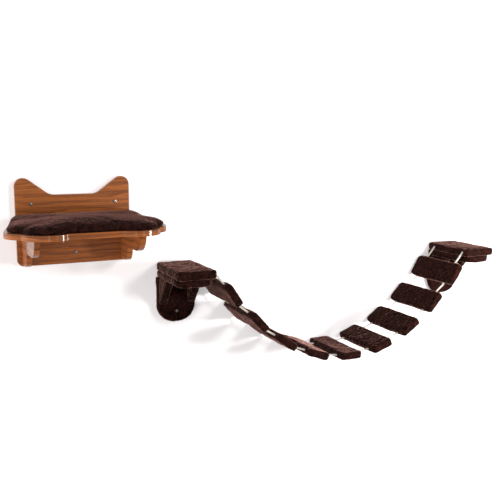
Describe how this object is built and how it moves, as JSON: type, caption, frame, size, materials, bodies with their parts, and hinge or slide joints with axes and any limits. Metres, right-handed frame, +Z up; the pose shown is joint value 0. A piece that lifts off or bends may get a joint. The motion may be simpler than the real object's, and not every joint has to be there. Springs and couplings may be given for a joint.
{
  "type": "cat climbing wall",
  "caption": "Wall-mounted cat furniture: a scalloped wooden shelf with a plush cushion and ear-shaped back, beside a rope bridge of plush planks slung between two plush platforms.",
  "frame": {"origin": "on the wall plane, midway between the shelf's two upper wall screws", "axes": "+X right along the wall, +Y into the wall, +Z up"},
  "size_m": [2.348, 0.4674, 0.8542],
  "materials": {
    "walnut_veneer": "satin lacquered",
    "core_plywood": "raw",
    "cushion_plush": "short pile",
    "panel_plush": "short pile",
    "rope": "twisted",
    "zinc_screws": "zinc plated"
  },
  "bodies": {
    "root": {"shelf_back_board": "walnut_veneer", "shelf_seat_board": "walnut_veneer", "shelf_bracket_left": "walnut_veneer", "shelf_bracket_right": "walnut_veneer", "seat_cushion": "cushion_plush", "shelf_dowels": "core_plywood", "wall_screws": "zinc_screws", "left_plate_cover": "panel_plush", "left_deck_cover": "panel_plush", "left_rope_board_cover": "panel_plush", "left_gusset_covers": "panel_plush", "right_plate_cover": "panel_plush", "right_deck_cover": "panel_plush", "right_rope_board_cover": "panel_plush", "right_gusset_covers": "panel_plush", "plate_cores": "core_plywood", "deck_cores": "core_plywood", "rope_board_cores": "core_plywood", "gusset_cores": "core_plywood", "platform_screws": "zinc_screws", "rope_anchors": "rope"},
    "plank_1": {"plank_1_core": "core_plywood", "plank_1_cover": "panel_plush", "plank_1_ropes": "rope", "rope_span_0": "rope"},
    "plank_2": {"plank_2_core": "core_plywood", "plank_2_cover": "panel_plush", "plank_2_ropes": "rope", "rope_span_1": "rope"},
    "plank_3": {"plank_3_core": "core_plywood", "plank_3_cover": "panel_plush", "plank_3_ropes": "rope", "rope_span_2": "rope"},
    "plank_4": {"plank_4_core": "core_plywood", "plank_4_cover": "panel_plush", "plank_4_ropes": "rope", "rope_span_3": "rope"},
    "plank_5": {"plank_5_core": "core_plywood", "plank_5_cover": "panel_plush", "plank_5_ropes": "rope", "rope_span_4": "rope"},
    "plank_6": {"plank_6_core": "core_plywood", "plank_6_cover": "panel_plush", "plank_6_ropes": "rope", "rope_span_6": "rope"},
    "plank_7": {"plank_7_core": "core_plywood", "plank_7_cover": "panel_plush", "plank_7_ropes": "rope", "rope_span_7": "rope"},
    "plank_8": {"plank_8_core": "core_plywood", "plank_8_cover": "panel_plush", "plank_8_ropes": "rope", "rope_span_8": "rope"},
    "plank_9": {"plank_9_core": "core_plywood", "plank_9_cover": "panel_plush", "plank_9_ropes": "rope", "rope_span_9": "rope"},
    "rope_5": {"rope_span_5": "rope"}
  },
  "joints": [
    {"name": "bridge_sway", "type": "hinge", "parent": "root", "child": "plank_1", "pos_m": [0.529, -0.164, -0.299], "axis": [0, -1, 0], "range_deg": [-3.5, 3.5], "stiffness_Nm_per_rad": 40, "springref_deg": 12.67},
    {"name": "plank_2_tip", "type": "hinge", "parent": "plank_1", "child": "plank_2", "pos_m": [0.63175, -0.164, -0.44174], "axis": [0, -1, 0], "range_deg": [-1.2, 1.2], "stiffness_Nm_per_rad": 40, "springref_deg": 9.17},
    {"name": "plank_3_tip", "type": "hinge", "parent": "plank_2", "child": "plank_3", "pos_m": [0.75824, -0.164, -0.56529], "axis": [0, -1, 0], "range_deg": [-2.8, 2.8], "stiffness_Nm_per_rad": 40, "springref_deg": 5.77},
    {"name": "plank_4_tip", "type": "hinge", "parent": "plank_3", "child": "plank_4", "pos_m": [0.90534, -0.164, -0.66337], "axis": [0, -1, 0], "range_deg": [-6.2, 6.2], "stiffness_Nm_per_rad": 40, "springref_deg": 2.9},
    {"name": "plank_5_tip", "type": "hinge", "parent": "plank_4", "child": "plank_5", "pos_m": [1.07164, -0.164, -0.72276], "axis": [0, -1, 0], "range_deg": [-5.2, 5.2], "stiffness_Nm_per_rad": 40, "springref_deg": 0.87},
    {"name": "plank_9_tip", "type": "hinge", "parent": "root", "child": "plank_9", "pos_m": [1.857, -0.164, -0.299], "axis": [0, -1, 0], "range_deg": [-4.7, 4.7], "stiffness_Nm_per_rad": 40, "springref_deg": -7.89},
    {"name": "plank_8_tip", "type": "hinge", "parent": "plank_9", "child": "plank_8", "pos_m": [1.75425, -0.164, -0.44174], "axis": [0, -1, 0], "range_deg": [-1.2, 1.2], "stiffness_Nm_per_rad": 40, "springref_deg": -5.13},
    {"name": "plank_7_tip", "type": "hinge", "parent": "plank_8", "child": "plank_7", "pos_m": [1.62776, -0.164, -0.56529], "axis": [0, -1, 0], "range_deg": [-2.8, 2.8], "stiffness_Nm_per_rad": 40, "springref_deg": -2.65},
    {"name": "plank_6_tip", "type": "hinge", "parent": "plank_7", "child": "plank_6", "pos_m": [1.48066, -0.164, -0.66337], "axis": [0, -1, 0], "range_deg": [-6.2, 6.2], "stiffness_Nm_per_rad": 40, "springref_deg": -0.84},
    {"name": "rope_5_swing", "type": "hinge", "parent": "plank_6", "child": "rope_5", "pos_m": [1.31436, -0.164, -0.72276], "axis": [0, -1, 0], "range_deg": [-4.3, 4.3], "stiffness_Nm_per_rad": 0.05, "springref_deg": -1.05}
  ],
  "couplings": [
    {"joint": "plank_2_tip", "follows": "bridge_sway", "ratio": 0.16968},
    {"joint": "plank_3_tip", "follows": "bridge_sway", "ratio": -0.55085},
    {"joint": "plank_4_tip", "follows": "bridge_sway", "ratio": -1.3545},
    {"joint": "plank_5_tip", "follows": "bridge_sway", "ratio": -1.1178},
    {"joint": "plank_9_tip", "follows": "bridge_sway", "ratio": 0.99668},
    {"joint": "plank_8_tip", "follows": "bridge_sway", "ratio": 0.16871},
    {"joint": "plank_7_tip", "follows": "bridge_sway", "ratio": -0.55117},
    {"joint": "plank_6_tip", "follows": "bridge_sway", "ratio": -1.3535},
    {"joint": "rope_5_swing", "follows": "bridge_sway", "ratio": -0.91553}
  ]
}
